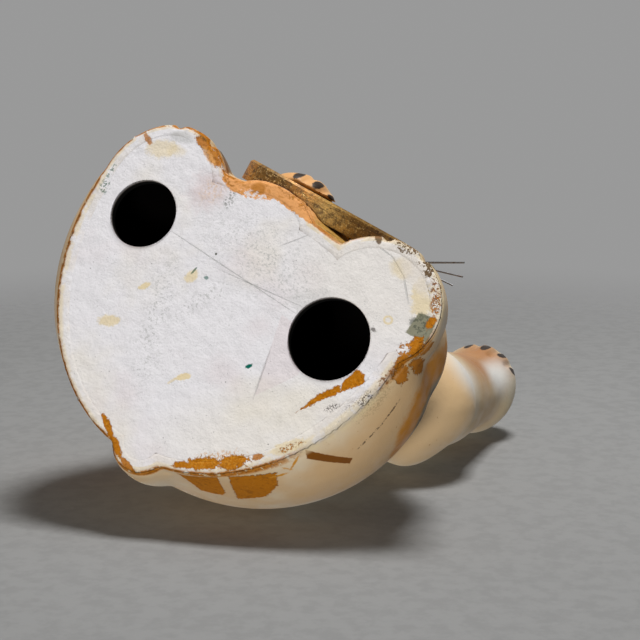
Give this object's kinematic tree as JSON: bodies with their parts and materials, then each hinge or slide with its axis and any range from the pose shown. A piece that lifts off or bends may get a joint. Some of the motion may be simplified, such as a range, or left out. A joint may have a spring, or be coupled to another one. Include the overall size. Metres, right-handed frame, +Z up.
{
  "type": "chalkware figure",
  "caption": "Hollow painted-plaster cat that sits upright with one paw raised and the other on an oval coin, with wire whiskers, a collar bell and a base plate with pour holes.",
  "frame": {"origin": "on the ground in the plane of the base plate's underside, midway between the sides", "axes": "+Z up, -Y the way that the face looks, +X towards the cat's left side"},
  "size_m": [0.2124, 0.1928, 0.2577],
  "materials": {
    "figure_paint": "worn cream paint over plaster, chipped to an ochre ground",
    "bare_plaster": "bare white plaster, scraped flat",
    "gold_paint": "dulled gold paint over plaster",
    "bell_brass": "dull brass",
    "dowel_wood": "plain wood",
    "whisker_wire": "darkened wire"
  },
  "bodies": {
    "root": {"body_front": "figure_paint", "body_back": "figure_paint", "raised_arm": "figure_paint", "base_plate": "bare_plaster", "coin": "gold_paint", "bell": "bell_brass", "arm_dowel": "dowel_wood", "whisker_left_lower": "whisker_wire", "whisker_left_middle": "whisker_wire", "whisker_left_upper": "whisker_wire", "whisker_right_lower": "whisker_wire", "whisker_right_middle": "whisker_wire", "whisker_right_upper": "whisker_wire"}
  },
  "joints": []
}
